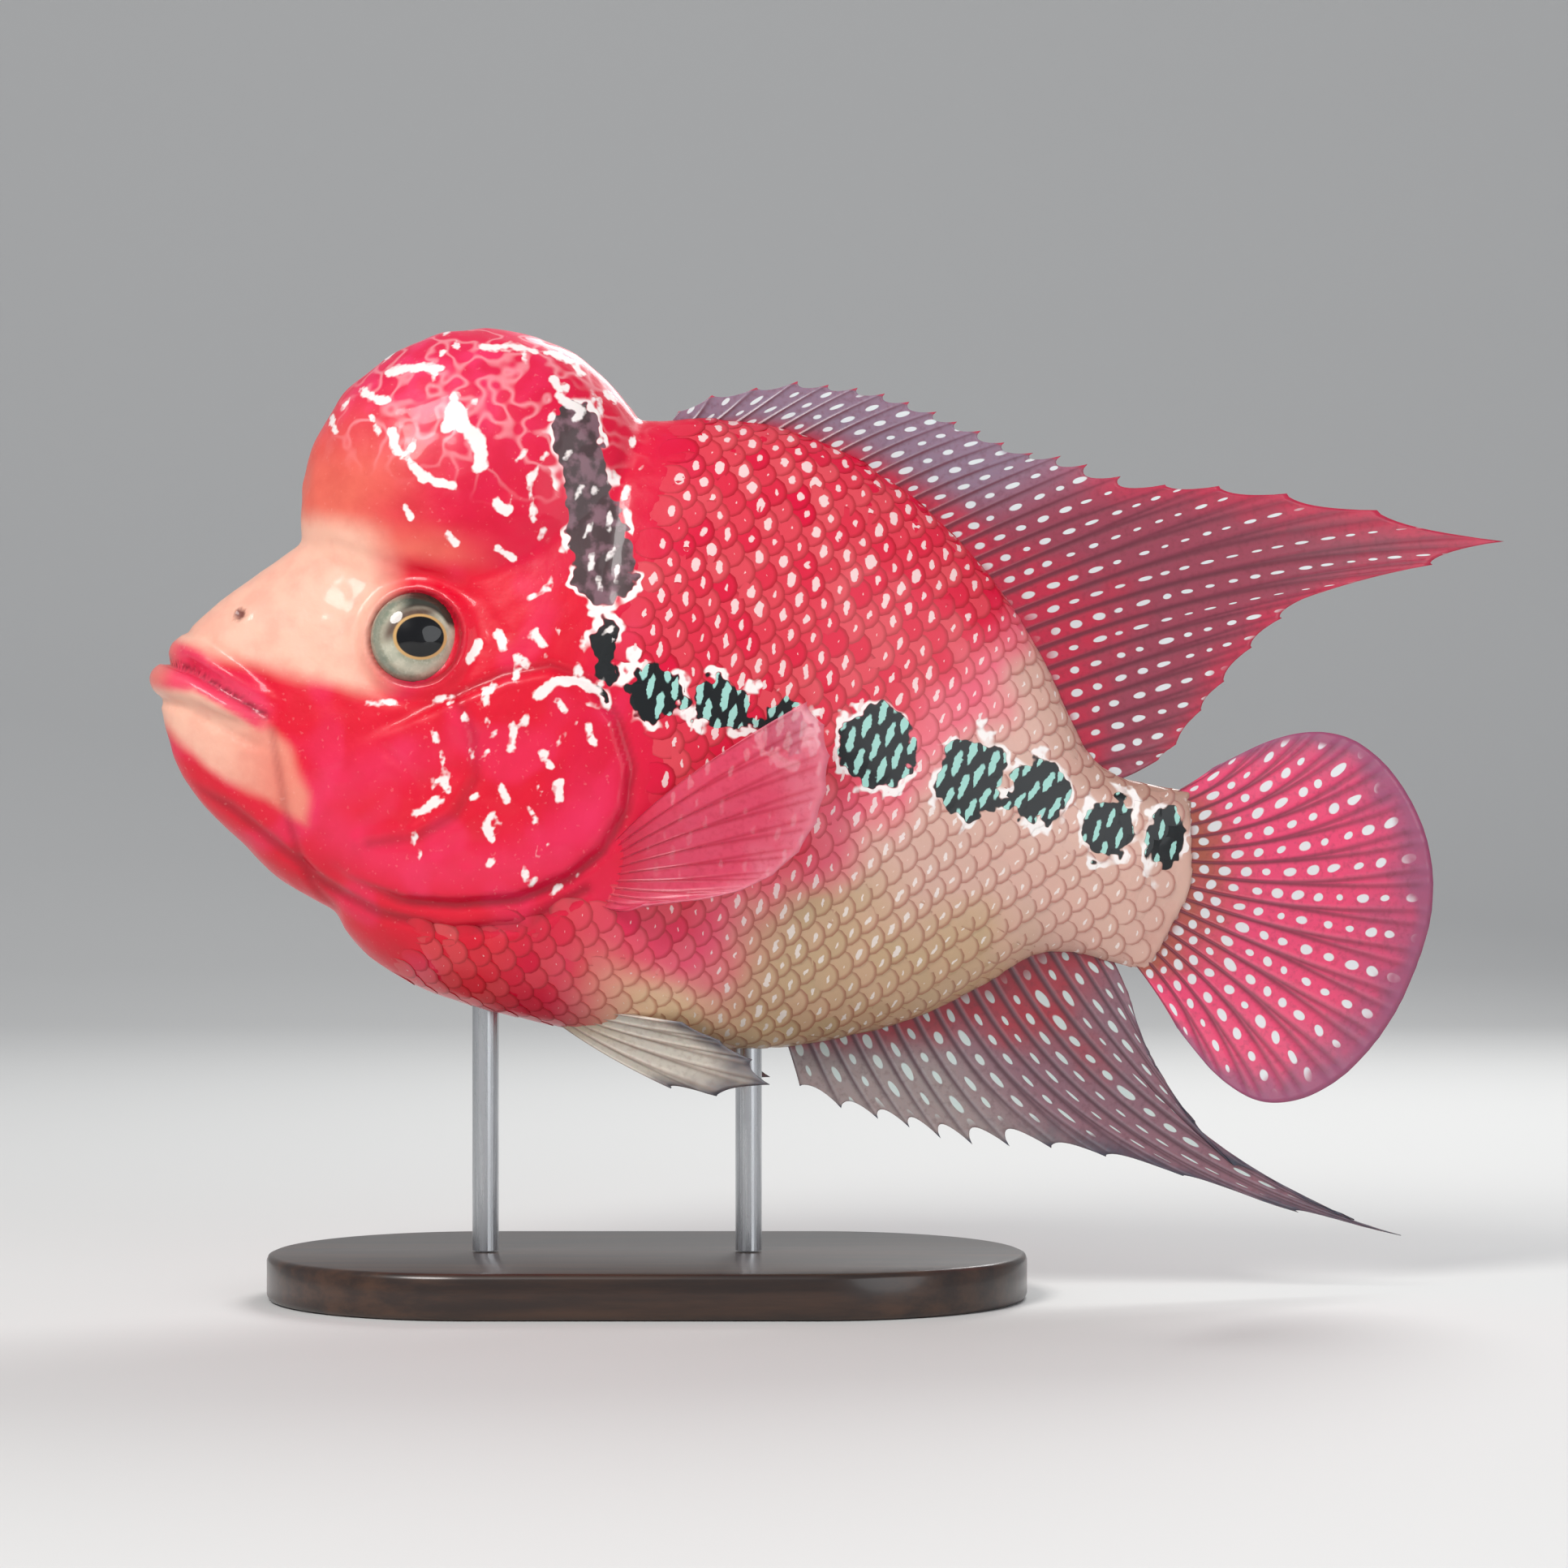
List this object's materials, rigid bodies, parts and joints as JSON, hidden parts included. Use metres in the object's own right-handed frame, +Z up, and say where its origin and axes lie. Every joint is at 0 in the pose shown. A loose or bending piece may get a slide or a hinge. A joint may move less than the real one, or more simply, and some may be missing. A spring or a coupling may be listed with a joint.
{
  "type": "flowerhorn cichlid display model",
  "caption": "Life-size still model of an adult flowerhorn cichlid with a tall nuchal hump and long pointed fins, held nose up over a flat oval display base by two slim rods.",
  "frame": {"origin": "middle of the underside of the stand's base", "axes": "+Z up, the fish faces -X, its left flank faces -Y, the lowest plane is Z 0"},
  "size_m": [0.2687, 0.084, 0.1912],
  "materials": {
    "skin_head": "wet gloss, peach to red",
    "skin_red": "wet gloss, crimson with pale flecks and dark blotches",
    "skin_tail": "wet gloss, tan with a dark spot",
    "lips": "wet gloss, pink",
    "fins": "thin membrane, maroon and grey with pale spots",
    "eyes": "clear gloss over a silver green iris",
    "stand_base": "dark satin lacquer",
    "stand_rods": "brushed"
  },
  "bodies": {
    "root": {"head": "skin_head", "lower_jaw": "skin_head", "upper_lip": "lips", "lower_lip": "lips", "nuchal_hump": "skin_red", "trunk": "skin_red", "left_gill_cover": "skin_red", "right_gill_cover": "skin_red", "caudal_peduncle": "skin_tail", "dorsal_fin": "fins", "anal_fin": "fins", "tail_fin": "fins", "left_pectoral_fin": "fins", "right_pectoral_fin": "fins", "left_pelvic_fin": "fins", "right_pelvic_fin": "fins", "left_eye": "eyes", "right_eye": "eyes", "stand_base": "stand_base", "stand_rod_1": "stand_rods", "stand_rod_2": "stand_rods"}
  },
  "joints": []
}
